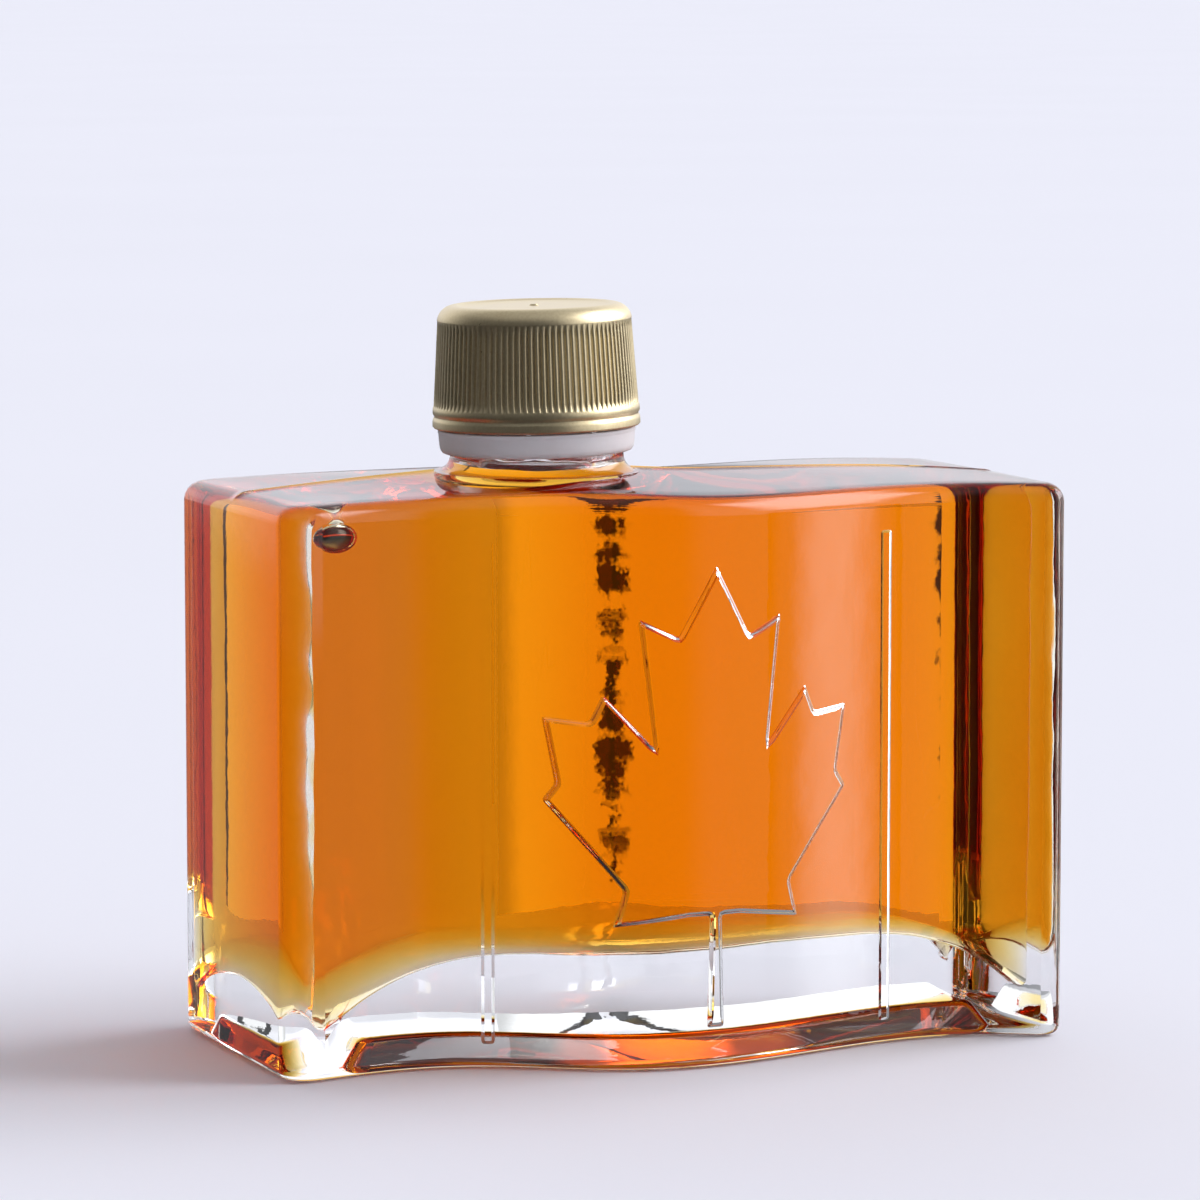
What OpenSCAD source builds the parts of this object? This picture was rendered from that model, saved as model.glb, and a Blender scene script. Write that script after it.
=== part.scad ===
// Flask of maple syrup: a thick clear glass body shaped like a flag in the wind, with a short
// round neck left of the middle, a seal ring and a knurled screw cap. Millimetres, +Z up, the
// base on Z = 0 and the middle of the body's box on the Z axis. The front looks along -Y.

/* [Body] */
// Length of the body from end to end
body_w = 117.4; // [96:0.1:142]
// Thickness of the body from front to back
body_t = 48.6; // [42:0.1:60]
// Height of the shoulder's outer edge above the base
body_h = 80.7; // [66:0.1:98]
// Height that the shoulder's ridge gains between the ends and the neck
ridge_rise = 3; // [1:0.1:5]
// Height that the shoulder's edge gains beside the neck
swell_rise = 0.8; // [0:0.1:2]
// Half of the length over which it gains that height
swell_half = 16; // [10:1:30]
// Radius of the four upright corners
corner_r = 4.8; // [3:0.1:6]
// Radius of the rounding round the shoulder
edge_r = 2.5; // [1.5:0.1:4]
// Radius of the rounding round the heel
heel_r = 1.6; // [1:0.1:3]
// Lean of both ends away from square to the body, in degrees
end_skew = 4.4; // [0:0.1:8]

/* [Wave] */
// Height of the wave above and below its middle
wave_amp = 5.5; // [2:0.1:7]
// Length of one whole wave
wave_len = 78; // [60:1:100]
// Lean of the wave's crests towards the left, in degrees
wave_lean = 23.5; // [0:0.5:30]
// Place of the front's crest, measured from the left end
crest_at = 58.7; // [40:0.1:70]

/* [Glass] */
// Thickness of the front and back walls
face_wall = 4.5; // [3:0.1:6]
// Thickness of the two end walls
end_wall = 4.4; // [3:0.1:7]
// Thickness of the glass under the shoulder's surface
roof_wall = 2.2; // [1.5:0.1:5]
// Height of the inner floor in the corners
floor_corner = 4.9; // [4.8:0.1:8]
// Height that the inner floor gains towards the middle of the long walls
floor_rise = 11.1; // [5:0.1:13]
// Height that the inner floor gains towards the middle of the end walls
floor_end_rise = 5.5; // [2:0.1:7]
// Rounding of the cavity's floor rim
cavity_floor_r = 3; // [2:0.1:4]
// Rounding of the cavity under the shoulder
cavity_roof_r = 1.6; // [1:0.1:4]
// Radius of the cavity's four upright corners
cavity_corner_r = 0.9; // [0.6:0.1:4]
// Depth of the push-up under the base
recess_h = 4; // [2:0.1:4.5]
// Distance from the outside to the push-up's mouth
recess_in = 5; // [4:0.1:9]
// Distance that the push-up's sides lean inwards over its depth
recess_lean = 6; // [2:0.1:8]

/* [Relief] */
// Height of the leaf above the front
leaf_rise = 0.6; // [0.3:0.05:1]
// Width of the slope round the leaf
leaf_slope = 0.7; // [0.4:0.05:1]
// Place of the leaf's middle, measured from the left end
leaf_at = 63.1; // [50:0.1:70]
// Height of the stem's foot above the base
leaf_z = 5.8; // [5:0.1:12]
// Distance from the leaf's tip to the shoulder's edge
leaf_drop = 9.4; // [6:0.1:20]
// Reach of the leaf to the left and to the right of its middle
leaf_halves = [23.8, 21.9];
// Half widths of the stem's top and foot
stem_halves = [0.9, 1.3];
// Places of the two upright ridges, measured from the left end
ridge_line_at = [28.3, 88.1];
// Width of the two upright ridges
ridge_line_w = 1; // [0.6:0.1:2]
// Height of the two upright ridges above the front
ridge_line_rise = 0.35; // [0.2:0.05:0.8]
// Distance that the ridges keep from the base and the shoulder
ridge_line_gap = 3.5; // [3:0.5:10]

/* [Neck and cap] */
// Place of the neck, measured from the left end
neck_at = 46; // [34:0.5:60]
// Outer diameter of the neck
neck_d = 24.8; // [20:0.1:30]
// Diameter of the bore
bore_d = 17; // [14:0.1:20.5]
// Radius of the fillet between the shoulder and the neck
neck_fillet = 2.2; // [1:0.1:4]
// Height of bare neck between the shoulder's ridge and the seal ring
neck_show = 1.4; // [1:0.1:6]
// Clearance between the neck and what goes round it
neck_gap = 0.45; // [0.4:0.05:0.8]
// Clearance between the neck's mouth and the cap's top plate
seat_gap = 0.4; // [0.3:0.05:0.8]
// Lean of the cap and its ring, in degrees
cap_lean = 1.2; // [0:0.1:1.5]
// Thickness of the seal ring
ring_wall = 1.35; // [1:0.05:2.5]
// Height of the seal ring
ring_h = 3.4; // [3:0.1:6]
// Clearance between the seal ring and the cap
ring_cap_gap = 0.2; // [0.1:0.05:0.5]
// Height of the cap
cap_h = 17.5; // [14:0.1:21]
// Thickness of the cap's skirt at its foot
cap_wall = 2.05; // [1.9:0.05:3]
// Distance that the cap's side leans inwards over its height
cap_taper = 1; // [0.5:0.1:1.1]
// Radius of the cap's rounded shoulder
cap_round = 2.4; // [1:0.1:4]
// Height of the cap's plain band under the ribs
cap_band_h = 2.8; // [2:0.1:4]
// Thickness of the cap's top plate
cap_plate = 1.6; // [1:0.1:2]
// Number of ribs round the cap
cap_ribs = 100; // [60:1:120]
// Depth of the grooves between the ribs
rib_depth = 0.35; // [0.2:0.05:0.4]
// Distance of the ribs' crests inside the plain band
rib_inset = 0.2; // [0.1:0.05:0.3]

/* [Syrup] */
// Depth of the syrup's surface below the shoulder's ridge
fill_drop = 1.5; // [-10:0.1:2]
// Clearance between the syrup and the glass
fill_gap = 0.15; // [0.05:0.05:0.2]

/* [Hidden] */

$fn = 72;
side_steps = 24;      // facets along the front and along the back
corner_steps = 4;     // facets round an upright corner
end_steps = 2;        // facets across an end, with a point on the ridge
round_steps = 3;      // facets round an edge
skin_depth = 1.6;     // depth to which the relief is sunk in the wall

crest_u = crest_at - body_w / 2;
neck_u = neck_at - body_w / 2;
leaf_h = body_h - leaf_z - leaf_drop;

// Height of the wave over its middle at a place along the body
function wave(u) = -wave_amp * cos(360 * (u - crest_u) / wave_len);

// Outline of a rounded rectangle with half sizes a and b and corner radius r, from the
// front's left end towards the right
function outline(a, b, r) = concat(
    [for (i = [0:side_steps]) [(a - r) * (2 * i / side_steps - 1), -b]],
    [for (i = [1:corner_steps - 1]) let (t = 90 * i / corner_steps)
        [a - r + r * sin(t), -b + r - r * cos(t)]],
    [for (i = [0:end_steps]) [a, (b - r) * (2 * i / end_steps - 1)]],
    [for (i = [1:corner_steps - 1]) let (t = 90 * i / corner_steps)
        [a - r + r * cos(t), b - r + r * sin(t)]],
    [for (i = [0:side_steps]) [(a - r) * (1 - 2 * i / side_steps), b]],
    [for (i = [1:corner_steps - 1]) let (t = 90 * i / corner_steps)
        [-a + r - r * sin(t), b - r + r * cos(t)]],
    [for (i = [0:end_steps]) [-a, (b - r) * (1 - 2 * i / end_steps)]],
    [for (i = [1:corner_steps - 1]) let (t = 90 * i / corner_steps)
        [-a + r - r * cos(t), -b + r - r * sin(t)]]);

// Waved and skewed plan place of a straight plan point
function bend(p) = let (w = wave(p.x)) [p.x - p.y * tan(end_skew) + w * tan(wave_lean), p.y + w];

// Middle of the waved body's box, which goes to the origin
body_plan = [for (p = outline(body_w / 2, body_t / 2, corner_r)) bend(p)];
function middle(axis) = let (v = [for (p = body_plan) p[axis]]) (min(v) + max(v)) / 2;
centre = [middle(0), middle(1)];
function place(p, z) = let (q = bend(p) - centre) [q.x, q.y, z];

// Height of the shoulder, a shallow tent that is highest at the neck
function ridge_share(u) = u < neck_u
    ? max(0, (u + body_w / 2) / (neck_u + body_w / 2))
    : max(0, (body_w / 2 - u) / (body_w / 2 - neck_u));
function edge_z(p) = body_h + swell_rise * exp(-pow((p.x - neck_u) / swell_half, 2));
function roof_z(p) = edge_z(p) + ridge_rise * ridge_share(p.x) * (1 - abs(p.y) / (body_t / 2));

// Height of the inner floor, low in the corners
function floor_z(p) = let (
    su = abs(p.x) / (body_w / 2 - end_wall),
    sv = abs(p.y) / (body_t / 2 - face_wall))
    floor_corner + floor_rise * (1 - pow(su, 4)) + floor_end_rise * (1 - sv * sv) * pow(su, 4);

// Body of rings of equal length, each a list of points, closed by a fan at either end
module skin(rings, low, high) {
    n = len(rings[0]);
    m = len(rings);
    points = concat([for (ring = rings) each ring], [low, high]);
    sides = [for (k = [0:m - 2], i = [0:n - 1]) let (j = (i + 1) % n) each [
        [k * n + i, (k + 1) * n + i, (k + 1) * n + j],
        [k * n + i, (k + 1) * n + j, k * n + j]]];
    foot = [for (i = [0:n - 1]) [m * n, i, (i + 1) % n]];
    head = [for (i = [0:n - 1]) [m * n + 1, (m - 1) * n + (i + 1) % n, (m - 1) * n + i]];
    polyhedron(points = points, faces = concat(sides, foot, head), convexity = 8);
}

// Outer glass: push-up, flat bearing ring, heel, walls, rounded shoulder and tent
module outer_shell() {
    rim = [body_w / 2, body_t / 2];
    function at(inset) = outline(rim.x - inset, rim.y - inset, max(corner_r - inset, 1));
    function level(inset, z) = [for (p = at(inset)) place(p, z)];
    function tent(k) = [for (p = at(edge_r)) place(p * k, roof_z(p * k))];
    skin(concat(
        [for (k = [0.3, 0.7]) [for (p = at(recess_in + recess_lean)) place(p * k, recess_h)]],
        [level(recess_in + recess_lean, recess_h), level(recess_in, 0)],
        [for (i = [0:round_steps]) let (t = 90 * i / round_steps)
            level(heel_r * (1 - sin(t)), heel_r * (1 - cos(t)))],
        [for (i = [0:round_steps]) let (t = 90 * i / round_steps)
            [for (p = at(edge_r * (1 - cos(t)))) place(p, edge_z(p) - edge_r * (1 - sin(t)))]],
        [for (k = [0.94, 0.75, 0.5, 0.25]) tent(k)]),
        place([0, 0], recess_h), place([0, 0], roof_z([0, 0])));
}

// Inside of the glass, drawn smaller by a gap: domed floor, walls and tent
module cavity_shell(gap) {
    rim = [body_w / 2 - end_wall - gap, body_t / 2 - face_wall - gap];
    function at(inset) = outline(rim.x - inset, rim.y - inset, cavity_corner_r);
    function low(p) = place(p, floor_z(p) + gap);
    function high(p, drop) = place(p, roof_z(p) - roof_wall - gap - drop);
    skin(concat(
        [for (k = [0.25, 0.45, 0.6, 0.72, 0.83, 0.92]) [for (p = at(cavity_floor_r)) low(p * k)]],
        [for (i = [0:round_steps]) let (t = 90 * i / round_steps)
            [for (p = at(cavity_floor_r * (1 - sin(t)))) low(p) + [0, 0, cavity_floor_r * (1 - cos(t))]]],
        [for (i = [0:round_steps]) let (t = 90 * i / round_steps)
            [for (p = at(cavity_roof_r * (1 - cos(t)))) high(p, cavity_roof_r * (1 - sin(t)))]],
        [for (k = [0.75, 0.5, 0.25]) [for (p = at(cavity_roof_r)) high(p * k, 0)]]),
        low([0, 0]), high([0, 0], 0));
}

// Half of the leaf: points in shares of its half width and of its height over the stem's
// foot, from the tip down to the stem
leaf_side = [[0, 1], [0.24, 0.85], [0.48, 0.89], [0.39, 0.615], [0.675, 0.73], [0.75, 0.67],
    [1, 0.68], [0.93, 0.535], [1, 0.5], [0.56, 0.305], [0.62, 0.225], [0.17, 0.245]];

// Whole leaf with its stem, the foot of the stem at the origin
module leaf_outline() {
    left = [for (p = leaf_side) [-p.x * leaf_halves[0], p.y * leaf_h]];
    right = [for (i = [len(leaf_side) - 1:-1:1]) let (p = leaf_side[i])
        [p.x * leaf_halves[1], p.y * leaf_h]];
    stem_top = leaf_side[len(leaf_side) - 1].y * leaf_h;
    polygon(concat(left, [[-stem_halves[0], stem_top], [-stem_halves[1], 0],
        [stem_halves[1], 0], [stem_halves[0], stem_top]], right));
}

// Front skin of the body, raised by a rise and sunk in the wall
module front_skin(rise) {
    u = [for (i = [0:2 * side_steps]) (body_w / 2 - corner_r) * (i / side_steps - 1)];
    function front(u, out) = place([u, -body_t / 2 - out], 0);
    linear_extrude(body_h - edge_r)
        polygon([for (p = concat([for (i = [0:len(u) - 1]) front(u[i], rise)],
            [for (i = [len(u) - 1:-1:0]) front(u[i], -skin_depth)])) [p.x, p.y]]);
}

// Prism from the front through the wall over a shape drawn in the XZ plane
module from_front(u, z) {
    translate([place([u, -body_t / 2], 0).x, 0, z]) rotate([90, 0, 0])
        linear_extrude(body_t) children();
}

// Leaf in steps that make its slope, and the two upright ridges
module relief() {
    for (k = [1:2])
        intersection() {
            front_skin(leaf_rise * k / 2);
            from_front(leaf_at - body_w / 2, leaf_z)
                offset(delta = -leaf_slope * (k - 1) / 2) leaf_outline();
        }
    for (at = ridge_line_at)
        intersection() {
            front_skin(ridge_line_rise);
            from_front(at - body_w / 2, ridge_line_gap)
                translate([-ridge_line_w / 2, 0])
                    square([ridge_line_w, body_h - edge_r - 2 * ridge_line_gap]);
        }
}

// Point on the shoulder's ridge where the neck stands, and the heights of what stands on it
neck_foot = place([neck_u, 0], roof_z([neck_u, 0]));
ring_z = neck_foot.z + neck_show;
cap_z = ring_z + ring_h + ring_cap_gap;
mouth_z = cap_z + cap_h - cap_plate - seat_gap;

// Neck with the fillet that runs into the shoulder
module neck() {
    root_z = body_h - roof_wall / 2;
    fillet_z = neck_foot.z + neck_fillet / 2;
    translate([neck_foot.x, neck_foot.y, 0])
        rotate_extrude()
            polygon(concat(
                [[0, root_z], [neck_d / 2 + neck_fillet, root_z]],
                [for (i = [0:6]) let (t = 15 * i)
                    [neck_d / 2 + neck_fillet * (1 - sin(t)), fillet_z - neck_fillet * cos(t)]],
                [[neck_d / 2, mouth_z], [0, mouth_z]]));
}

// Round hole on the neck's axis, drawn smaller by a gap, up to a height
module bore(gap, top) {
    low = body_h - roof_wall - cavity_roof_r;
    translate([neck_foot.x, neck_foot.y, low]) cylinder(d = bore_d - 2 * gap, h = top - low);
}

module glass_bottle() {
    color([0.86, 0.9, 0.93, 0.45])
        difference() {
            union() {
                outer_shell();
                neck();
                relief();
            }
            cavity_shell(0);
            bore(0, mouth_z + 1);
        }
}

module syrup() {
    color([0.85, 0.45, 0.05])
        union() {
            cavity_shell(fill_gap);
            bore(fill_gap, neck_foot.z - fill_drop);
        }
}

// Frame of the cap and its ring, leaning about the middle of the ring's foot
module on_neck(z) {
    translate([neck_foot.x, neck_foot.y, ring_z])
        rotate([0, -cap_lean, 0])
            translate([0, 0, z - ring_z]) children();
}

module seal_ring() {
    inner = neck_d / 2 + neck_gap;
    outer = inner + ring_wall;
    chamfer = ring_wall / 3;
    color([0.93, 0.92, 0.9])
        on_neck(ring_z)
            rotate_extrude()
                polygon([[inner, 0], [outer - 2 * chamfer, 0], [outer - chamfer, chamfer],
                    [outer, ring_h], [inner, ring_h]]);
}

// Outline of the ribbed skirt, one crest and one groove for each rib
module rib_outline(r) {
    pitch = 360 / cap_ribs;
    polygon([for (i = [0:cap_ribs - 1], q = [[-0.28, 0], [0.28, 0], [0.42, 1], [0.58, 1]])
        (r - rib_depth * q[1]) * [cos(pitch * (i + q[0])), sin(pitch * (i + q[0]))]]);
}

module cap() {
    hole_r = neck_d / 2 + neck_gap;
    foot_r = hole_r + cap_wall;
    top_r = foot_r - cap_taper;
    flat_r = top_r - cap_round;
    core_inset = rib_inset + rib_depth + 0.05;
    shoulder_z = cap_h - cap_round;
    rib_lap = rib_depth;
    color([0.72, 0.62, 0.4])
        on_neck(cap_z)
            difference() {
                union() {
                    rotate_extrude()
                        polygon(concat([[0, 0], [foot_r, 0], [foot_r, cap_band_h],
                            [foot_r - core_inset, cap_band_h], [top_r - core_inset, shoulder_z]],
                            [for (i = [0:5]) let (t = 18 * i)
                                [flat_r + cap_round * cos(t), shoulder_z + cap_round * sin(t)]],
                            [[0, cap_h]]));
                    translate([0, 0, cap_band_h - rib_lap])
                        linear_extrude(shoulder_z - cap_band_h + 2 * rib_lap,
                            scale = (top_r - rib_inset) / (foot_r - rib_inset))
                            rib_outline(foot_r - rib_inset);
                }
                translate([0, 0, -1]) cylinder(r = hole_r, h = cap_h - cap_plate + 1);
            }
}

glass_bottle();
syrup();
cap();
seal_ring();
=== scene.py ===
# Flask of maple syrup: thick waved glass with a raised leaf, syrup inside, a ribbed gold cap and a
# milky seal ring. The shapes are worked out in millimetres and put in metres at the end.
import math

import bmesh
import bpy
from mathutils import Matrix, Vector, noise


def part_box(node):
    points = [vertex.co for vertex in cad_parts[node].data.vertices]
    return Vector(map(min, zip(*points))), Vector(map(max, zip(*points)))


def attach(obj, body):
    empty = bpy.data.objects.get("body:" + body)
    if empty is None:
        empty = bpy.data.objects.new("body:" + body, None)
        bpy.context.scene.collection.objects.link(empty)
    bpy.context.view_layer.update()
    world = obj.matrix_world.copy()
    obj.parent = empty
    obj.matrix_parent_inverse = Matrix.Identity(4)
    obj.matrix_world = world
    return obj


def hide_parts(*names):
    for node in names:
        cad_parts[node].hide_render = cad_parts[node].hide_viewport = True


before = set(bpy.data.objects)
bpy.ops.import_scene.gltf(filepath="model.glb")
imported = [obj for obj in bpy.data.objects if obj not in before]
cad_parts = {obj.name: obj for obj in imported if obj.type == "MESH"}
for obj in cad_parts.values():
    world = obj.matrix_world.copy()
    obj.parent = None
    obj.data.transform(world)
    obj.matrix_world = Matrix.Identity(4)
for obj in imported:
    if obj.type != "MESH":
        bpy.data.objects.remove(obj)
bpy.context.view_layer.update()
print("frame loaded,", len(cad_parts), "nodes")

# sizes shared by the glass and the syrup
form = {
    "width": 117.4,
    "thick": 48.6,
    "height": 80.7,
    "ridgeRise": 3.0,
    "swellRise": 0.8,
    "swellHalf": 16.0,
    "cornerR": 4.8,
    "edgeR": 2.5,
    "heelR": 1.6,
    "skew": 4.4,
    "waveAmp": 5.5,
    "waveLen": 78.0,
    "waveLean": 23.5,
    "neckU": -12.7,
    "stepU": 1.2,
    "stepV": 2.7,
    "shareFrom": 60.0,  # height from which the upper part takes on the shoulder's slope
    "seam": (0.28, 0.14),  # half width and height of the crease along the ridge
}

halfU, halfV = form["width"] / 2, form["thick"] / 2
skewTan = math.tan(math.radians(form["skew"]))
leanTan = math.tan(math.radians(form["waveLean"]))
waveK = 2 * math.pi / form["waveLen"]


def wave(u):
    return -form["waveAmp"] * math.cos(waveK * u)


def waveSlope(u):
    return form["waveAmp"] * waveK * math.sin(waveK * u)


def bendRaw(u, v):
    w = wave(u)
    return u - v * skewTan + w * leanTan, v + w


def planMiddle():
    # middle of the bent outline's box, which stands on the origin
    r = form["cornerR"]
    xs, ys = [], []
    for i in range(241):
        u = (halfU - r) * (i / 120 - 1)
        for v in (-halfV, halfV):
            x, y = bendRaw(u, v)
            xs.append(x)
            ys.append(y)
    for i in range(33):
        a = math.pi / 2 * i / 32
        for su in (-1, 1):
            for sv in (-1, 1):
                x, y = bendRaw(su * (halfU - r + r * math.cos(a)), sv * (halfV - r + r * math.sin(a)))
                xs.append(x)
                ys.append(y)
    return (min(xs) + max(xs)) / 2, (min(ys) + max(ys)) / 2


midX, midY = planMiddle()


def bend(u, v):
    x, y = bendRaw(u, v)
    return x - midX, y - midY


def straightU(x, v):
    # the place along the body whose bent point at that depth lies at x
    low, high = -halfU - 8, halfU + 8
    for _ in range(40):
        u = (low + high) / 2
        if bend(u, v)[0] < x:
            low = u
        else:
            high = u
    return (low + high) / 2


def ridgeShare(u):
    nu = form["neckU"]
    span = (u + halfU) / (nu + halfU) if u < nu else (halfU - u) / (halfU - nu)
    return max(0.0, span)


def edgeZ(u):
    swell = form["swellRise"] * math.exp(-((u - form["neckU"]) / form["swellHalf"]) ** 2)
    return form["height"] + swell


def roofZ(u, v):
    return edgeZ(u) + form["ridgeRise"] * ridgeShare(u) * max(0.0, 1 - abs(v) / halfV)


def unevenness(p, sizes):
    # the same slow swells and small ripples each time, for moulded glass
    total = 0.0
    for scale, amount, offset in sizes:
        total += amount * noise.noise(Vector((p[0] / scale + offset, p[1] / scale - offset, p[2] / scale)))
    return total


def roundedBlock(hu, hv, low, high, cornerR, topR, footR, segments):
    # a block with round upright corners and round rims, about the upright axis
    bm = bmesh.new()
    bmesh.ops.create_cube(bm, size=1)
    bmesh.ops.scale(bm, vec=(2 * hu, 2 * hv, high - low), verts=bm.verts)
    bmesh.ops.translate(bm, vec=(0, 0, (low + high) / 2), verts=bm.verts)
    upright = [e for e in bm.edges if abs(e.verts[0].co.z - e.verts[1].co.z) > 1e-4]
    bevelEdges(bm, upright, cornerR, segments + 2)
    for z, r in ((high, topR), (low, footR)):
        if r > 0:
            rim = [e for e in bm.edges if all(abs(v.co.z - z) < 1e-4 for v in e.verts)]
            bevelEdges(bm, rim, r, segments)
    return bm


def bevelEdges(bm, edges, offset, segments):
    bmesh.ops.bevel(bm, geom=edges, offset=offset, offset_type="OFFSET", segments=segments,
                    profile=0.5, affect="EDGES", clamp_overlap=False, material=-1)


def sliceAcross(bm, axis, places, want=lambda f: True):
    # cuts the wanted faces by planes square to an axis
    for place in places:
        faces = [f for f in bm.faces if want(f)]
        edges = {e for f in faces for e in f.edges}
        verts = {v for f in faces for v in f.verts}
        bmesh.ops.bisect_plane(bm, geom=list(verts) + list(edges) + faces, dist=1e-5,
                               plane_co=Vector(axis) * place, plane_no=Vector(axis))


def spread(low, high, step):
    count = max(1, round((high - low) / step))
    return [low + (high - low) * i / count for i in range(1, count)]


def turned(profile, middle, steps, name, *finishes):
    # a profile of radius and height, turned round an upright axis
    bm = bmesh.new()
    verts = [bm.verts.new((middle[0] + r, middle[1], z)) for r, z in profile]
    edges = [bm.edges.new((a, b)) for a, b in zip(verts, verts[1:])]
    bmesh.ops.spin(bm, geom=verts + edges, cent=(middle[0], middle[1], 0), axis=(0, 0, 1),
                   angle=2 * math.pi, steps=steps, use_merge=True)
    bmesh.ops.remove_doubles(bm, verts=bm.verts, dist=1e-4)
    bmesh.ops.recalc_face_normals(bm, faces=bm.faces)
    return toObject(bm, name, *finishes)


def toObject(bm, name, *finishes):
    mesh = bpy.data.meshes.new(name)
    bm.to_mesh(mesh)
    bm.free()
    made = bpy.data.objects.new(name, mesh)
    bpy.context.scene.collection.objects.link(made)
    for finish in finishes:
        mesh.materials.append(finish)
    return made


def combine(target, tool, operation):
    # joins or cuts two closed pieces and drops the second
    step = target.modifiers.new(operation.lower(), "BOOLEAN")
    step.operation, step.object, step.solver = operation, tool, "EXACT"
    step.material_mode = "TRANSFER"
    dg = bpy.context.evaluated_depsgraph_get()
    result = bpy.data.meshes.new_from_object(target.evaluated_get(dg))
    target.modifiers.clear()
    old, target.data = target.data, result
    bpy.data.meshes.remove(old)
    bpy.data.objects.remove(tool)


def toMetres(obj):
    obj.data.transform(Matrix.Scale(0.001, 4))
    obj.data.update()


# finishes
def newMaterial(name, values):
    made = bpy.data.materials.new(name)
    made.use_nodes = True
    nodes = made.node_tree.nodes
    shader = nodes["Principled BSDF"]
    for socket, value in values.items():
        shader.inputs[socket].default_value = value
    return made, nodes, made.node_tree.links, shader


def buildUnevenGroup():
    # slow and fine unevenness as a mask and a height, in object space
    group = bpy.data.node_groups.new("unevenSurface", "ShaderNodeTree")
    for name, value in (("Coarse Scale", 60.0), ("Fine Scale", 600.0), ("Fine Share", 0.3)):
        socket = group.interface.new_socket(name, in_out="INPUT", socket_type="NodeSocketFloat")
        socket.default_value = value
    group.interface.new_socket("Mask", in_out="OUTPUT", socket_type="NodeSocketFloat")
    nodes, links = group.nodes, group.links
    start, end = nodes.new("NodeGroupInput"), nodes.new("NodeGroupOutput")
    place = nodes.new("ShaderNodeTexCoord")
    coarse, fine = nodes.new("ShaderNodeTexNoise"), nodes.new("ShaderNodeTexNoise")
    mix = nodes.new("ShaderNodeMix")
    for noiseNode, socket in ((coarse, "Coarse Scale"), (fine, "Fine Scale")):
        links.new(place.outputs["Object"], noiseNode.inputs["Vector"])
        links.new(start.outputs[socket], noiseNode.inputs["Scale"])
    links.new(start.outputs["Fine Share"], mix.inputs["Factor"])
    links.new(coarse.outputs["Fac"], mix.inputs["A"])
    links.new(fine.outputs["Fac"], mix.inputs["B"])
    links.new(mix.outputs["Result"], end.inputs["Mask"])
    return group


unevenGroup = buildUnevenGroup()


def addUneven(nodes, coarse, fine, share):
    made = nodes.new("ShaderNodeGroup")
    made.node_tree = unevenGroup
    made.inputs["Coarse Scale"].default_value = coarse
    made.inputs["Fine Scale"].default_value = fine
    made.inputs["Fine Share"].default_value = share
    return made


def addRamp(nodes, links, source, stops, blend="LINEAR"):
    # stops hold a place and either a colour or one grey value
    ramp = nodes.new("ShaderNodeValToRGB")
    parts = ramp.color_ramp.elements
    while len(parts) < len(stops):
        parts.new(0.5)
    for part, (at, value) in zip(parts, stops):
        part.position = at
        part.color = (*value, 1) if isinstance(value, tuple) else (value, value, value, 1)
    ramp.color_ramp.interpolation = blend
    links.new(source, ramp.inputs["Fac"])
    return ramp.outputs["Color"]


def addBump(nodes, links, source, strength, distance, shader):
    bump = nodes.new("ShaderNodeBump")
    bump.inputs["Strength"].default_value = strength
    bump.inputs["Distance"].default_value = distance
    links.new(source, bump.inputs["Height"])
    links.new(bump.outputs["Normal"], shader.inputs["Normal"])


glassLook = {
    "ior": 1.52,
    "uneven": (70.0, 420.0, 0.12),
    "tint": [(0.3, (0.972, 0.985, 0.982)), (0.7, (0.99, 0.996, 0.995))],
    "bump": (0.2, 0.0004),
}
wetLook = {"uneven": (90.0, 500.0, 0.2), "tint": [(0.3, (0.995, 0.995, 0.99)), (0.7, (1, 1, 1))]}
syrupLook = {
    "ior": 1.4595,
    "uneven": (40.0, 300.0, 0.2),
    "tint": [(0.3, (0.995, 0.99, 0.98)), (0.7, (1, 1, 1))],
    "passed": (0.970, 0.80, 0.2),
    "density": 200.0,
}
goldLook = {
    "metal": 0.88,
    "uneven": (90.0, 2600.0, 0.55),
    "tint": [(0.35, (0.70, 0.57, 0.33)), (0.65, (0.80, 0.68, 0.42))],
    "rough": [(0.3, 0.27), (0.7, 0.4)],
    "bump": (0.1, 0.0002),
}
milkyLook = {
    "ior": 1.5,
    "through": 0.25,
    "uneven": (120.0, 900.0, 0.3),
    "tint": [(0.3, (0.92, 0.87, 0.86)), (0.7, (0.97, 0.94, 0.94))],
    "rough": [(0.3, 0.34), (0.7, 0.46)],
    "bump": (0.15, 0.0003),
}


def dress(nodes, links, shader, look):
    # colour, roughness and relief that vary with the shared unevenness
    mask = addUneven(nodes, *look["uneven"]).outputs["Mask"]
    links.new(addRamp(nodes, links, mask, look["tint"]), shader.inputs["Base Color"])
    if "rough" in look:
        links.new(addRamp(nodes, links, mask, look["rough"]), shader.inputs["Roughness"])
    if "bump" in look:
        addBump(nodes, links, mask, *look["bump"], shader)


def buildClear(name, ior, look):
    made, nodes, links, shader = newMaterial(name, {"Transmission Weight": 1, "Roughness": 0, "IOR": ior})
    dress(nodes, links, shader, look)
    return made


def buildSyrupFinish(name, ior):
    made = buildClear(name, ior, syrupLook)
    nodes, links = made.node_tree.nodes, made.node_tree.links
    soak = nodes.new("ShaderNodeVolumeAbsorption")
    soak.inputs["Color"].default_value = (*syrupLook["passed"], 1)
    soak.inputs["Density"].default_value = syrupLook["density"]
    links.new(soak.outputs["Volume"], nodes["Material Output"].inputs["Volume"])
    return made


def buildGold():
    made, nodes, links, shader = newMaterial("satinGold", {"Metallic": goldLook["metal"]})
    dress(nodes, links, shader, goldLook)
    return made


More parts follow.
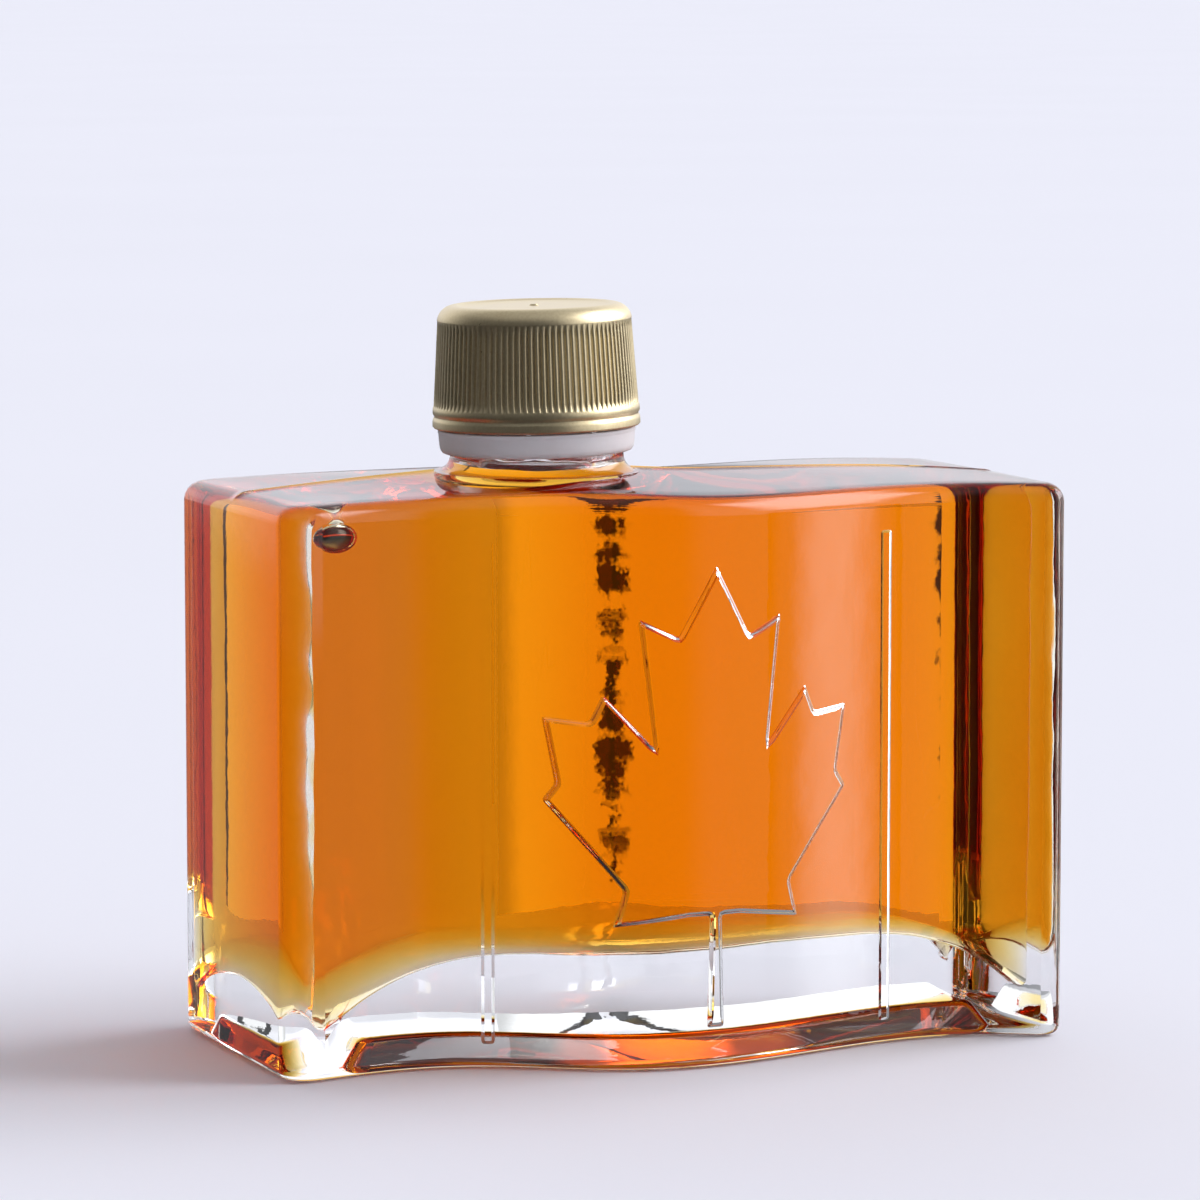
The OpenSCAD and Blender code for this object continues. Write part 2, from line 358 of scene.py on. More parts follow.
def buildMilky():
    fixed = {"Transmission Weight": milkyLook["through"], "IOR": milkyLook["ior"]}
    made, nodes, links, shader = newMaterial("milkyPlastic", fixed)
    dress(nodes, links, shader, milkyLook)
    return made


glass = buildClear("clearGlass", glassLook["ior"], glassLook)
# where the syrup wets the wall only the difference between the two bends light
wetGlass = buildClear("wetGlass", glassLook["ior"] / syrupLook["ior"], wetLook)
syrupBody, syrupFace = buildSyrupFinish("syrupBody", 1.0), buildSyrupFinish("syrupFace", syrupLook["ior"])
gold, milky = buildGold(), buildMilky()


# the raised leaf and the two upright ridges on the front
leaf = {
    "atX": 4.07,
    "foot": 5.8,
    "height": 65.5,
    "halves": (23.8, 21.9),
    "stem": (0.9, 1.3),
    "side": [(0, 1), (0.24, 0.85), (0.48, 0.89), (0.39, 0.615), (0.675, 0.73), (0.75, 0.67),
             (1, 0.68), (0.93, 0.535), (1, 0.5), (0.56, 0.305), (0.62, 0.225), (0.17, 0.245)],
    "steps": [(0.12, 0.06), (0.3, 0.26), (0.5, 0.51), (0.75, 0.6)],  # inset and rise of each loop
    "round": 0.45,
    "spacing": 1.4,
}
uprights = {
    "x": (-26.7, 33.0),
    "width": 1.8,
    "low": 3.5,
    "high": 74.7,
    "steps": [(0.15, 0.0225), (0.3, 0.0425), (0.42, 0.05)],
    "round": 0.45,
    "spacing": 4.0,
}


def leafOutline():
    s, h = leaf["side"], leaf["height"]
    left = [(-x * leaf["halves"][0], y * h) for x, y in s]
    right = [(x * leaf["halves"][1], y * h) for x, y in reversed(s[1:])]
    top = s[-1][1] * h
    stem = [(-leaf["stem"][0], top), (-leaf["stem"][1], 0), (leaf["stem"][1], 0), (leaf["stem"][0], top)]
    return [(x + leaf["atX"], z + leaf["foot"]) for x, z in left + stem + right]


def softened(points, r, step):
    # rounds the corners a little and adds points along the runs
    out, n = [], len(points)
    for i in range(n):
        p = Vector(points[i])
        before, after = Vector(points[i - 1]) - p, Vector(points[(i + 1) % n]) - p
        a = p + before.normalized() * min(r, before.length * 0.4)
        b = p + after.normalized() * min(r, after.length * 0.4)
        out += [a, a * 0.25 + p * 0.5 + b * 0.25, b]
        c = Vector(points[(i + 1) % n])
        c = c - after.normalized() * min(r, after.length * 0.4)
        count = max(1, round((c - b).length / step))
        out += [b.lerp(c, k / count) for k in range(1, count)]
    return [(q.x, q.y) for q in out]


def shrunk(points, amount):
    # the outline moved inwards by an amount, corner by corner
    n, out = len(points), []
    area = sum(points[i - 1][0] * points[i][1] - points[i][0] * points[i - 1][1] for i in range(n))
    side = 1 if area > 0 else -1
    for i in range(n):
        p = Vector(points[i])
        a = (p - Vector(points[i - 1])).normalized()
        b = (Vector(points[(i + 1) % n]) - p).normalized()
        na, nb = Vector((-a.y, a.x)) * side, Vector((-b.y, b.x)) * side
        q = p + (na + nb) / max(0.25, 1 + na.dot(nb)) * amount
        out.append((q.x, q.y))
    return out


def raiseOutline(bm, outline, steps):
    # stands an outline on the flat front as loops, each further in and further out
    def onFront(points, out):
        return [(straightU(x, -halfV - out), -halfV - out, z) for x, z in points]

    loop = [bm.verts.new(p) for p in onFront(outline, 0)]
    first = [bm.edges.new((loop[i - 1], loop[i])) for i in range(len(loop))]
    edges = first
    for inset, out in steps:
        made = bmesh.ops.extrude_edge_only(bm, edges=edges)["geom"]
        newVerts = [g for g in made if isinstance(g, bmesh.types.BMVert)]
        places = {tuple(round(c, 4) for c in v.co): v for v in newVerts}
        twins = [places[tuple(round(c, 4) for c in v.co)] for v in loop]
        for twin, goal in zip(twins, onFront(shrunk(outline, inset), out)):
            twin.co = goal
        loop = twins
        edges = [bm.edges.get((loop[i - 1], loop[i])) for i in range(len(loop))]
    bmesh.ops.triangle_fill(bm, edges=edges, use_beauty=True, normal=(0, -1, 0))
    return first


push = {"inset": 5.0, "lean": 6.0, "height": 4.0, "cornerR": 2.0, "rimR": 1.0}


def buildPushUp():
    # the hollow under the base, wider at its mouth
    hu, hv = halfU - push["inset"], halfV - push["inset"]
    bm = bmesh.new()
    bmesh.ops.create_cube(bm, size=2)
    bmesh.ops.scale(bm, vec=(hu, hv, push["height"]), verts=bm.verts)
    top = [v for v in bm.verts if v.co.z > 0]
    bmesh.ops.scale(bm, vec=((hu - push["lean"]) / hu, (hv - push["lean"]) / hv, 1), verts=top)
    slanted = [e for e in bm.edges if abs(e.verts[0].co.z - e.verts[1].co.z) > 1e-4]
    bevelEdges(bm, slanted, push["cornerR"], 4)
    rim = [e for e in bm.edges if all(v.co.z > 0 for v in e.verts)]
    bevelEdges(bm, rim, push["rimR"], 3)
    return toObject(bm, "pushUp", glass)


def buildOuter():
    block = roundedBlock(halfU, halfV, 0, form["height"], form["cornerR"], form["edgeR"], form["heelR"], 5)
    body = toObject(block, "glassBody", glass)
    combine(body, buildPushUp(), "DIFFERENCE")
    bm = bmesh.new()
    bm.from_mesh(body.data)
    # the flat front is opened and closed again round the leaf and the ridges
    front = max((f for f in bm.faces if f.normal.y < -0.99), key=lambda f: f.calc_area())
    rimEdges = list(front.edges)
    bmesh.ops.delete(bm, geom=[front], context="FACES_ONLY")
    loops = raiseOutline(bm, softened(leafOutline(), leaf["round"], leaf["spacing"]), leaf["steps"])
    w, low, high = uprights["width"] / 2, uprights["low"], uprights["high"]
    for x in uprights["x"]:
        strip = [(x - w, low), (x + w, low), (x + w, high), (x - w, high)]
        loops += raiseOutline(bm, softened(strip, uprights["round"], uprights["spacing"]), uprights["steps"])
    bmesh.ops.triangle_fill(bm, edges=rimEdges + loops, use_beauty=True, normal=(0, -1, 0))
    cornerR, edgeR, start = form["cornerR"], form["edgeR"], form["shareFrom"]
    half, crease = form["seam"]
    sliceAcross(bm, (1, 0, 0), spread(-halfU + cornerR, halfU - cornerR, form["stepU"]))
    sliceAcross(bm, (0, 1, 0), [-half, 0.0, half], lambda f: abs(f.normal.z) > 0.7)
    sliceAcross(bm, (0, 1, 0), spread(-halfV + edgeR, halfV - edgeR, form["stepV"]),
                lambda f: f.normal.z > 0.7)
    for v in bm.verts:
        u, w, z = v.co
        seam = crease if abs(w) < 0.01 and z > start else 0.0
        share = max(0.0, min(1.0, (z - start) / (form["height"] - edgeR - start)))
        z += share * (roofZ(u, w) - form["height"]) + seam
        x, y = bend(u, w)
        v.co = (x, y, z)
    bm.to_mesh(body.data)
    bm.free()
    return body


body = buildOuter()
print("outer glass", len(body.data.polygons))

# the neck, its lip and the fillet into the shoulder
neck = {
    "radius": 12.4,
    "bore": 8.5,
    "fillet": 2.4,
    "lip": 0.9,
    "show": 1.4,
    "flare": 2.6,
    "flareDrop": 0.6,  # how far under the roof the flare begins
    "boreRoot": 5.0,  # how far under the roof the bore's own piece begins
    "boreStep": 1.2,
    "steps": 112,
    "sunk": 3.0,  # depth of the neck's root in the shoulder
    "ripples": [(5.0, 0.18, 3.0), (2.2, 0.1, 9.0)],
}
neckX, neckY = bend(form["neckU"], 0)
ridgeTop = roofZ(form["neckU"], 0)
ringZ = ridgeTop + neck["show"]
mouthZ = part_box("glass_bottle")[1].z * 1000
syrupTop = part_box("syrup")[1].z * 1000


def arc(cx, cz, r, start, end, count):
    # points of an arc between two angles in degrees
    angles = [math.radians(start + (end - start) * i / count) for i in range(count + 1)]
    return [(cx + r * math.cos(a), cz + r * math.sin(a)) for a in angles]


def buildNeck():
    r, f = neck["radius"], neck["fillet"]
    foot = ridgeTop + f * 0.42
    root = ridgeTop - neck["sunk"]
    profile = [(0, root), (r + f, root)]
    profile += arc(r + f, foot, f, 270, 180, 8)
    wallTop = mouthZ - neck["lip"]
    profile += [(r, foot + (wallTop - foot) * k / 12) for k in range(1, 12)]
    profile += arc(r - neck["lip"], wallTop, neck["lip"], 0, 90, 4) + [(0, mouthZ)]
    made = turned(profile, (neckX, neckY), neck["steps"], "neckPart", glass)
    for v in made.data.vertices:
        ripple = unevenness(v.co, neck["ripples"])
        away = Vector((v.co.x - neckX, v.co.y - neckY, 0))
        if away.length > r - 1 and v.co.z > ridgeTop:
            v.co += away.normalized() * ripple
    return made


combine(body, buildNeck(), "UNION")

# the inside: a domed floor, straight walls, a roof under the shoulder and the bore
inside = {
    "faceWall": 4.5,
    "endWall": 4.4,
    "roofWall": 2.2,
    "cornerR": 0.9,
    "floorCorner": 4.9,
    "floorRise": 11.1,
    "floorEndRise": 5.5,
    "floorR": 3.0,
    "roofR": 1.6,
    "swells": [(24.0, 0.45, 1.7), (7.0, 0.16, 5.1), (2.6, 0.05, 8.3)],
    "stepU": 1.15,
    "stepV": 1.6,
    "stepZ": 1.6,
    "margin": 4.8,  # distance from the corners at which the cuts begin
    "draft": 70.0,  # height of the block before its floor and roof are shaped
}


def floorZ(u, v):
    su = min(1.0, abs(u) / (halfU - inside["endWall"]))
    sv = min(1.0, abs(v) / (halfV - inside["faceWall"]))
    endRise = inside["floorEndRise"] * (1 - sv * sv) * su ** 4
    return inside["floorCorner"] + inside["floorRise"] * (1 - su ** 4) + endRise


def buildInside(grow, name, *finishes):
    # drawn larger by an amount, so that the syrup can reach into the wall
    hu, hv = halfU - inside["endWall"] + grow, halfV - inside["faceWall"] + grow
    top, fr, rr, edge = inside["draft"], inside["floorR"], inside["roofR"], inside["margin"]
    bm = roundedBlock(hu, hv, 0, top, inside["cornerR"], rr, fr, 5)
    sliceAcross(bm, (1, 0, 0), spread(-hu + edge, hu - edge, inside["stepU"]))
    sliceAcross(bm, (0, 1, 0), [0.0], lambda f: abs(f.normal.z) > 0.7)
    sliceAcross(bm, (0, 1, 0), spread(-hv + edge, hv - edge, inside["stepV"]),
                lambda f: abs(f.normal.y) < 0.7)
    sliceAcross(bm, (0, 0, 1), spread(fr, top - rr, inside["stepZ"]), lambda f: abs(f.normal.z) < 0.3)
    bmesh.ops.recalc_face_normals(bm, faces=bm.faces)
    pushed = []
    for v in bm.verts:
        u, w, z = v.co
        low, high = floorZ(u, w) - grow, roofZ(u, w) - inside["roofWall"] + grow
        share = max(0.0, min(1.0, (z - fr) / (top - rr - fr)))
        zz = (low + z) * (1 - share) + (high - (top - z)) * share
        x, y = bend(u, w)
        ripple = unevenness((x, y, zz), inside["swells"])
        pushed.append((v, Vector((x, y, zz)), v.normal * ripple))
    for v, place, ripple in pushed:
        v.co = place + ripple
    return toObject(bm, name, *finishes)


def buildBore(grow, top, name, *finishes):
    # the bore, which flares out into the roof of the hollow
    r, flare = neck["bore"] + grow, neck["flare"]
    roof = ridgeTop - inside["roofWall"]
    root, start = roof - neck["boreRoot"], roof - neck["flareDrop"]
    low = start + flare
    profile = [(0, root), (r + flare, root), (r + flare, start)]
    profile += arc(r + flare, low, flare, 270, 180, 7)[1:]
    count = max(2, round((top - low) / neck["boreStep"]))
    profile += [(r, low + (top - low) * k / count) for k in range(1, count + 1)]
    profile += [(r * 0.6, top), (0, top)]
    return turned(profile, (neckX, neckY), neck["steps"], name, *finishes)


def buildHollow():
    made = buildInside(0.0, "hollow", wetGlass, glass)
    bore = buildBore(0.0, mouthZ + 2, "bore", wetGlass, glass)
    bm = bmesh.new()
    bm.from_mesh(bore.data)
    sliceAcross(bm, (0, 0, 1), [syrupTop])
    bm.to_mesh(bore.data)
    bm.free()
    combine(made, bore, "UNION")
    for face in made.data.polygons:
        face.material_index = 1 if face.center.z > syrupTop else 0  # dry above the syrup
    return made


combine(body, buildHollow(), "DIFFERENCE")
print("glass", len(body.data.polygons))

# the syrup, a little larger than the hollow, with a bubble under the shoulder
bubble = {"u": -51.2, "v": -17.9, "below": 2.9, "size": (2.9, 1.1, 2.1)}
reach = 0.06


def buildSyrup():
    made = buildInside(reach, "syrupFill", syrupBody, syrupFace)
    combine(made, buildBore(reach, syrupTop, "syrupBore", syrupBody, syrupFace), "UNION")
    for face in made.data.polygons:
        face.material_index = 1 if face.center.z > syrupTop - 0.01 else 0
    bm = bmesh.new()
    bmesh.ops.create_uvsphere(bm, u_segments=40, v_segments=24, radius=1)
    bmesh.ops.scale(bm, vec=bubble["size"], verts=bm.verts)
    z = roofZ(bubble["u"], bubble["v"]) - inside["roofWall"] - bubble["below"]
    bmesh.ops.translate(bm, vec=(bubble["u"], bubble["v"], z), verts=bm.verts)
    for v in bm.verts:
        v.co.x, v.co.y = bend(v.co.x, v.co.y)  # it lies along the waved wall
    combine(made, toObject(bm, "bubble", syrupFace), "DIFFERENCE")
    return made


syrup = buildSyrup()
print("syrup", len(syrup.data.polygons))


# the cap and the seal ring, which lean a little together
cap = {
    "foot": 14.9,
    "top": 13.95,
    "flat": 11.4,
    "height": 17.5,
    "hole": 12.85,
    "plate": 1.6,
    "ribs": 100,
    "ribLow": 3.1,
    "ribHigh": 15.1,
    "ribDepth": 0.36,
    "ribSteps": 12,
    "perRib": 8,
    "lean": 1.2,
    "gate": (0.75, 0.5, 0.24),  # lower and upper radius and height of the mould mark
}
ring = {
    "inner": 12.87,
    "outer": 14.15,
    "height": 3.4,
    "gap": 0.2,
    "tabs": 9,
    "tabAt": 13.75,
    "tabSize": (0.5, 0.7, 0.34),
    "steps": 128,
}


def leanWithCap(obj):
    # turned about the middle of the ring's foot
    hub = Matrix.Translation((neckX, neckY, ringZ))
    turn = Matrix.Rotation(math.radians(-cap["lean"]), 4, "Y")
    obj.data.transform(hub @ turn @ hub.inverted())


def ribShare(angle):
    # a narrow round crest and a wide flat groove
    t = (angle / (2 * math.pi) * cap["ribs"]) % 1.0
    d = abs(t - 0.5) * 2
    return max(0.0, min(1.0, (d - 0.42) / 0.3))


def buildCap():
    base = ringZ + ring["height"] + ring["gap"]
    foot, top, flat, h = cap["foot"], cap["top"], cap["flat"], cap["height"]
    low, high, hole, under = cap["ribLow"], cap["ribHigh"], cap["hole"], cap["height"] - cap["plate"]

    def skirt(z):
        return foot - 0.22 + (top - foot) * (z - low) / (h - low)

    # sunk disc, its rim, the rounded shoulder, the skirt, the band with its groove, the inside
    profile = [(0, h - 0.25), (flat * 0.5, h - 0.24), (flat - 1.1, h - 0.22), (flat - 0.75, h - 0.14),
               (flat - 0.45, h - 0.02), (flat - 0.1, h)]
    shoulder = top - flat - 0.1
    profile += arc(top - shoulder, h - shoulder, shoulder, 84, 8, 9)
    profile += [(skirt(high) + 0.04, high + 0.25)]
    rows = [high - (high - low) * k / cap["ribSteps"] for k in range(cap["ribSteps"] + 1)]
    profile += [(skirt(z), z) for z in rows]
    profile += [(foot - 0.1, low - 0.22), (foot - 0.05, 2.2), (foot - 0.12, 1.95), (foot - 0.27, 1.75),
                (foot - 0.27, 1.6), (foot - 0.1, 1.35), (foot - 0.02, 1.0), (foot, 0.25), (foot - 0.22, 0.02)]
    profile += [(hole + 0.2, 0), (hole, 0.2), (hole, under), (0, under)]
    steps = cap["ribs"] * cap["perRib"]
    made = turned([(r, z + base) for r, z in profile], (neckX, neckY), steps, "screwCap", gold)
    for v in made.data.vertices:
        z = v.co.z - base
        away = Vector((v.co.x - neckX, v.co.y - neckY, 0))
        if away.length < hole + 0.5 or not low - 0.01 < z < high + 0.01:
            continue
        ends = min(1.0, min(z - low, high - z) / 0.7)
        depth = cap["ribDepth"] * ribShare(math.atan2(away.y, away.x)) * max(0.0, ends) ** 0.5
        v.co -= away.normalized() * depth
    # the mark where the plastic went in
    wide, narrow, depth = cap["gate"]
    bm = bmesh.new()
    bm.from_mesh(made.data)
    bmesh.ops.create_cone(bm, cap_ends=True, segments=20, radius1=wide, radius2=narrow, depth=depth,
                          matrix=Matrix.Translation((neckX, neckY, base + h - 0.16)))
    bm.to_mesh(made.data)
    bm.free()
    leanWithCap(made)
    return made


def buildRing():
    inner, outer, h = ring["inner"], ring["outer"], ring["height"]
    profile = [(inner, 0.12), (inner + 0.12, 0), (outer - 0.85, 0), (outer - 0.55, 0.12),
               (outer - 0.32, 0.45), (outer - 0.2, 0.9), (outer - 0.1, 1.9), (outer - 0.06, 2.75),
               (outer - 0.04, 2.85), (outer + 0.02, 2.95), (outer + 0.02, h - 0.1), (outer - 0.08, h),
               (inner + 0.1, h), (inner, h - 0.1), (inner, 0.12)]
    made = turned([(r, z + ringZ) for r, z in profile], (neckX, neckY), ring["steps"], "sealRing", milky)
    bm = bmesh.new()
    bm.from_mesh(made.data)
    for i in range(ring["tabs"]):
        angle = 2 * math.pi * (i + 0.2) / ring["tabs"]
        turn = Matrix.Translation((neckX, neckY, ringZ + h)) @ Matrix.Rotation(angle, 4, "Z")
        place = turn @ Matrix.Translation((ring["tabAt"], 0, 0.02)) @ Matrix.Diagonal((*ring["tabSize"], 1))
        bmesh.ops.create_cube(bm, size=1, matrix=place)
    bm.to_mesh(made.data)
    bm.free()
    leanWithCap(made)
    return made


screwCap, sealRing = buildCap(), buildRing()
print("cap and ring", len(screwCap.data.polygons), len(sealRing.data.polygons))


# shading: smooth, with the wave's own normals on the flat front and back
shading = {"glass": 34, "syrup": 50, "closure": 42, "offWave": 0.9, "offTurn": 2.2}


def smoothShade(obj, angle):
    obj.data.shade_smooth()
    obj.data.set_sharp_from_angle(angle=math.radians(angle))


def waveNormals(obj):
    mesh, known = obj.data, {}

    def normalAt(x, side):
        key = (round(x, 3), side)
        if key not in known:
            slope = waveSlope(straightU(x, side * halfV))
            known[key] = Vector((-slope, 1 + slope * leanTan, 0)).normalized() * side
        return known[key]

    normals = [Vector(n.vector) for n in mesh.corner_normals]
    for face in mesh.polygons:
        if abs(face.normal.z) > 0.02 or abs(face.normal.y) < 0.7:
            continue
        side = 1 if face.normal.y > 0 else -1
        middle = face.center
        u = straightU(middle.x, side * halfV)
        if abs(middle.y - bend(u, side * halfV)[1]) > shading["offWave"]:
            continue  # part of the inner wall
        if face.normal.angle(normalAt(middle.x, side)) > math.radians(shading["offTurn"]):
            continue  # a slope of the leaf or of an upright line
        for loop in face.loop_indices:
            normals[loop] = normalAt(mesh.vertices[mesh.loops[loop].vertex_index].co.x, side)
    mesh.normals_split_custom_set([n[:] for n in normals])


smoothShade(body, shading["glass"])
waveNormals(body)
smoothShade(syrup, shading["syrup"])
smoothShade(screwCap, shading["closure"])
smoothShade(sealRing, shading["closure"])
pieces = [
    (body, "glass_bottle", "glass"),
    (syrup, "syrup", "syrup"),
    (screwCap, "cap", "cap"),
    (sealRing, "seal_ring", "seal_ring"),
]
for obj, node, slot in pieces:
    toMetres(obj)
    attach(obj, "root")
    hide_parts(node)
print("pieces ready")


# floor, light and camera
def addMath(nodes, links, operation, *values):
    made = nodes.new("ShaderNodeMath")
    made.operation = operation
    for i, value in enumerate(values):
        if isinstance(value, (int, float)):
            made.inputs[i].default_value = value
        else:
            links.new(value, made.inputs[i])
    return made.outputs[0]


def multiplied(nodes, links, a, b):
    return addMath(nodes, links, "MULTIPLY", a, b)


def subtracted(nodes, links, a, b):
    return addMath(nodes, links, "SUBTRACT", a, b)


def addStep(nodes, links, value, low, high):
    # 0 below the low value, 1 above the high one
    made = nodes.new("ShaderNodeMapRange")
    made.interpolation_type = "SMOOTHSTEP"
    made.inputs["From Min"].default_value, made.inputs["From Max"].default_value = low, high
    links.new(value, made.inputs["Value"])
    return made.outputs["Result"]


studio = {
    "floorDrop": 0.0002,
    "floorSize": 300.0,
    "floorColour": (0.885, 0.885, 0.93),
    "camera": (-0.2582, -0.7798, 0.15725),
    "pitch": 6.508,
    "yaw": 18.089,
    "lens": 171.1,
    "paper": (3.0, 900.0, 0.3),
    "paperRough": 0.85,
    "paperShine": 0.15,
    "paintedDarkY": (0.05, 0.08),
    "paintedDarkX": (-0.08, -0.05),
    "paintedDarkRoom": (0.03, 0.03, 0.03),
}


def buildFloor():
    bm = bmesh.new()
    bmesh.ops.create_grid(bm, x_segments=8, y_segments=8, size=studio["floorSize"] / 2)
    bmesh.ops.translate(bm, vec=(0, 0, -studio["floorDrop"]), verts=bm.verts)
    floor = toObject(bm, "floor")
    fixed = {"Roughness": studio["paperRough"], "Specular IOR Level": studio["paperShine"]}
    made, nodes, links, shader = newMaterial("palePaper", fixed)
    mask = addUneven(nodes, *studio["paper"]).outputs["Mask"]
    tint = studio["floorColour"]
    paper = addRamp(nodes, links, mask, [(0.3, tuple(c * 0.985 for c in tint)), (0.7, tint)])
    # painted shade: only for rays that came through the glass, the floor at the front left turns near black,
    # so the syrup shows a dark room there
    split, path = nodes.new("ShaderNodeSeparateXYZ"), nodes.new("ShaderNodeLightPath")
    links.new(nodes.new("ShaderNodeTexCoord").outputs["Object"], split.inputs[0])
    front = subtracted(nodes, links, 1.0, addStep(nodes, links, split.outputs[1], *studio["paintedDarkY"]))
    left = subtracted(nodes, links, 1.0, addStep(nodes, links, split.outputs[0], *studio["paintedDarkX"]))
    corner = multiplied(nodes, links, front, left)
    paintedDarkShare = multiplied(nodes, links, corner, path.outputs["Is Transmission Ray"])
    mix = nodes.new("ShaderNodeMix")
    mix.data_type = "RGBA"
    links.new(paintedDarkShare, mix.inputs[0])
    links.new(paper, mix.inputs[6])
    # painted shade: the near-black floor colour that is seen only through the glass
    mix.inputs[7].default_value = (*studio["paintedDarkRoom"], 1)
    links.new(mix.outputs[2], shader.inputs["Base Color"])
    floor.data.materials.append(made)
    floor.visible_glossy = False  # the room's own low levels stand in for it in reflections


# upright glowing cards that light nothing else: radiance along each, shown either as a painted reflection or
# as painted light seen through the syrup
cards = {
    # painted reflection: a glowing strip at the right, seen only in the glass's reflections
    "paintedReflectionCard": {
        "place": (0.147, -0.087, 0.035),
        "facing": (0.025, -0.02, 0.045),
        "size": (0.06, 0.11),
        "stops": [(0, 0.0), (0.2, 0.25), (0.5, 3.0), (0.8, 0.25), (1, 0.0)],
        "reflected": True,
        "ragged": None,
    },
    # painted light and a painted dark band with a ragged border, seen only through the syrup behind the
    # bottle
    "paintedBackLight": {
        "place": (0.037, 0.08, 0.0375),
        "facing": (0.037, 0, 0.0375),
        "size": (0.058, 0.067),
        "stops": [(0, 0.78), (0.28, 1.22), (0.886, 1.2), (0.91, 0.07), (1, 0.07)],
        "reflected": False,
        "ragged": (330, 5, 0.11, 0.9),  # noise scale and detail, its share and the lean of the borders
    },
}
cardTint = (0.97, 0.98, 1)


def buildCardFinish(name, card):
    made = bpy.data.materials.new(name)
    made.use_nodes = True
    nodes, links = made.node_tree.nodes, made.node_tree.links
    nodes.clear()
    out, glow = nodes.new("ShaderNodeOutputMaterial"), nodes.new("ShaderNodeEmission")
    coord, split = nodes.new("ShaderNodeTexCoord"), nodes.new("ShaderNodeSeparateXYZ")
    links.new(coord.outputs["Object"], split.inputs[0])
    along = addMath(nodes, links, "MULTIPLY_ADD", split.outputs[0], 1 / card["size"][0], 0.5)
    if card["ragged"]:
        scale, detail, share, lean = card["ragged"]
        grain = nodes.new("ShaderNodeTexNoise")
        grain.inputs["Scale"].default_value, grain.inputs["Detail"].default_value = scale, detail
        links.new(coord.outputs["Object"], grain.inputs["Vector"])
        shift = addMath(nodes, links, "MULTIPLY_ADD", grain.outputs["Fac"], share, -share / 2)
        shift = addMath(nodes, links, "MULTIPLY_ADD", split.outputs[1], lean, shift)
        along = addMath(nodes, links, "ADD", along, shift)
    links.new(addRamp(nodes, links, along, card["stops"], "EASE"), glow.inputs["Strength"])
    glow.inputs["Color"].default_value = (*cardTint, 1)
    links.new(glow.outputs[0], out.inputs["Surface"])
    return made


def buildCard(name, card):
    bm = bmesh.new()
    bmesh.ops.create_grid(bm, x_segments=1, y_segments=60, size=0.5)
    bmesh.ops.scale(bm, vec=(*card["size"], 1), verts=bm.verts)
    made = toObject(bm, name, buildCardFinish(name, card))
    made.location = card["place"]
    facing = Vector(card["facing"]) - Vector(card["place"])
    made.rotation_euler = facing.to_track_quat("Z", "Y").to_euler()
    # hidden from the camera, the floor and shadows, so each glow is only a painted reflection or painted
    # light through the syrup
    made.visible_camera = made.visible_diffuse = made.visible_shadow = False
    made.visible_glossy, made.visible_transmission = card["reflected"], not card["reflected"]


# what stands round the object: radiance by compass angle, front 0.5, right 0.75, back 0 and 1
room = {
    "ring": [(0.0, 0.88), (0.06, 0.80), (0.14, 0.25), (0.25, 0.08), (0.5, 0.04), (0.54, 0.08), (0.6, 0.95),
             (0.75, 1.15), (0.86, 0.98), (0.95, 0.88), (1.0, 0.88)],
    "aboveFrom": (0.45, 0.95),
    "above": 0.42,
    "belowTo": (-0.06, 0.0),
    "below": 0.25,
    "glowTurn": (0.3, 0.8),
    "glowRise": (0.04, 0.14, 0.4, 0.7),
    "glow": 0.3,
    "tint": (0.975, 0.985, 1.06),
    "windowTurn": (0.64, 0.68, 0.80, 0.84),
    "windowRise": (0.18, 0.28, 0.72, 0.85),
    "window": 5.0,
}


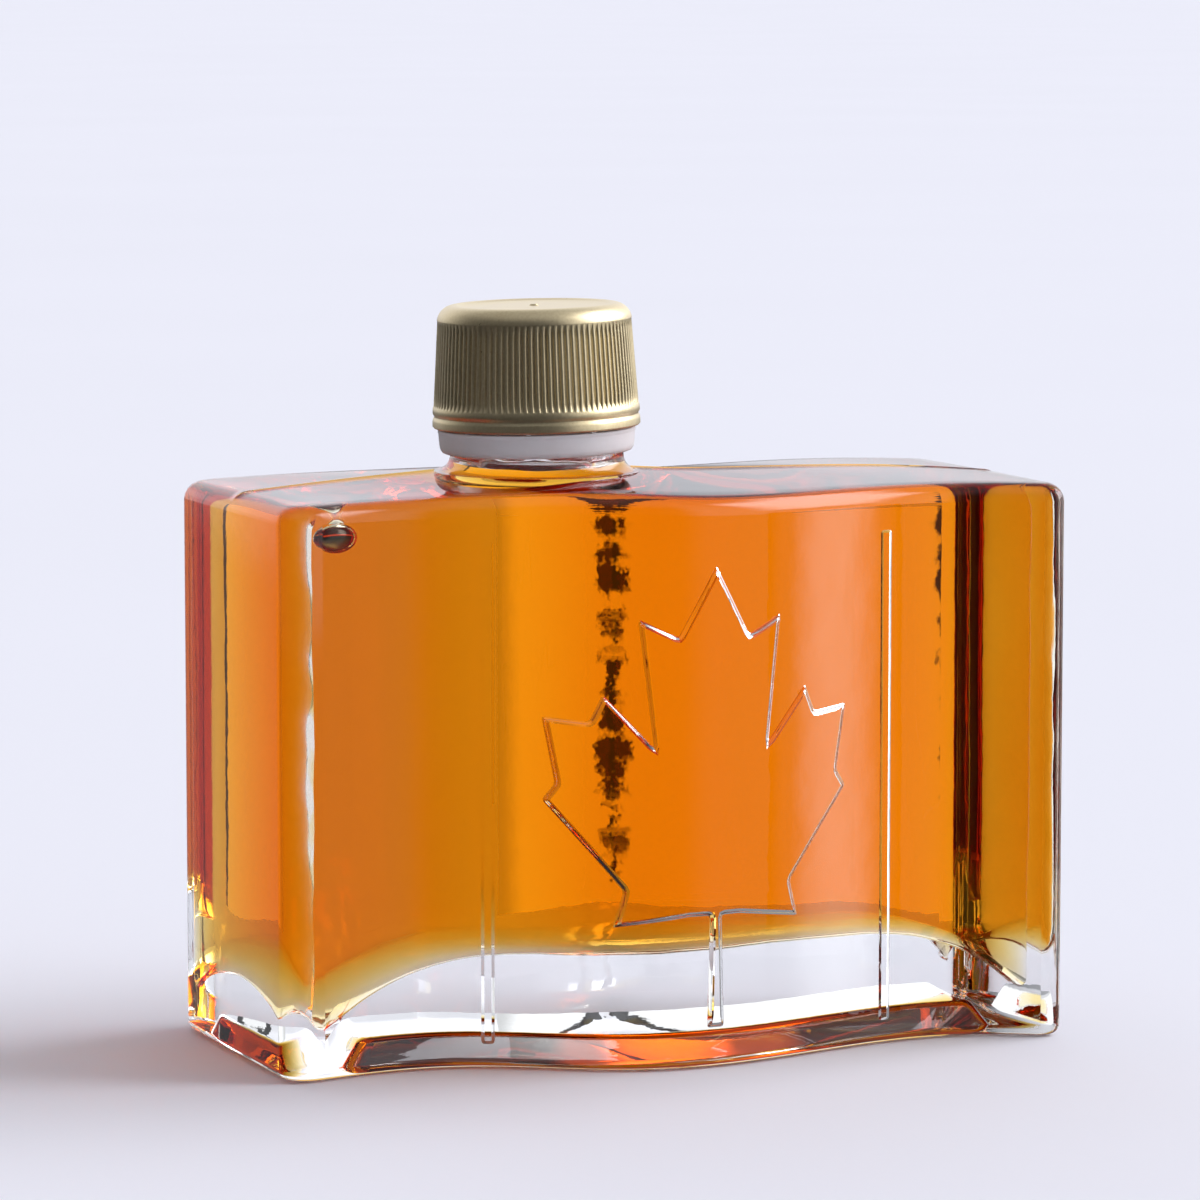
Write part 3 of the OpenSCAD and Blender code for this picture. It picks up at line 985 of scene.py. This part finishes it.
def buildWorld():
    world = bpy.data.worlds.new("softStudio")
    bpy.context.scene.world = world
    world.use_nodes = True
    nodes, links = world.node_tree.nodes, world.node_tree.links
    place, split = nodes.new("ShaderNodeTexCoord"), nodes.new("ShaderNodeSeparateXYZ")
    links.new(place.outputs["Generated"], split.inputs[0])
    x, y, z = split.outputs
    turn = addMath(nodes, links, "ARCTAN2", x, multiplied(nodes, links, y, -1.0))
    turn = addMath(nodes, links, "MULTIPLY_ADD", turn, 0.5 / math.pi, 0.5)
    ring = addRamp(nodes, links, turn, room["ring"], "EASE")

    def band(value, rises, falls=None):
        # 1 between the rise and the fall of a value
        made = addStep(nodes, links, value, *rises)
        return subtracted(nodes, links, made, addStep(nodes, links, value, *falls)) if falls else made

    high = band(z, room["aboveFrom"])
    level = multiplied(nodes, links, ring, subtracted(nodes, links, 1.0, high))
    level = addMath(nodes, links, "MULTIPLY_ADD", high, room["above"], level)
    dim = addMath(nodes, links, "MULTIPLY_ADD", band(z, room["belowTo"]), 1 - room["below"], room["below"])
    level = multiplied(nodes, links, level, dim)
    turns, rises = room["windowTurn"], room["windowRise"]
    pane = multiplied(nodes, links, band(turn, turns[:2], turns[2:]), band(z, rises[:2], rises[2:]))
    level = addMath(nodes, links, "MULTIPLY_ADD", pane, room["window"], level)
    rises = room["glowRise"]
    haze = multiplied(nodes, links, band(y, room["glowTurn"]), band(z, rises[:2], rises[2:]))
    level = addMath(nodes, links, "MULTIPLY_ADD", haze, room["glow"], level)
    background = nodes["Background"]
    background.inputs["Color"].default_value = (*room["tint"], 1)
    links.new(level, background.inputs["Strength"])


buildFloor()
buildWorld()
for name, card in cards.items():
    buildCard(name, card)


def buildCamera():
    data = bpy.data.cameras.new("view")
    data.sensor_width, data.lens = 36, studio["lens"]
    made = bpy.data.objects.new("view", data)
    made.location = studio["camera"]
    made.rotation_euler = (math.radians(90 - studio["pitch"]), 0, math.radians(-studio["yaw"]))
    bpy.context.scene.collection.objects.link(made)
    bpy.context.scene.camera = made


buildCamera()
print("studio ready")

scene = bpy.context.scene
scene.view_settings.view_transform = "Standard"
scene.cycles.max_bounces = 24
scene.cycles.transmission_bounces = 24
scene.cycles.glossy_bounces = 12
scene.cycles.transparent_max_bounces = 24
scene.cycles.use_denoising = True

print("scene ready")
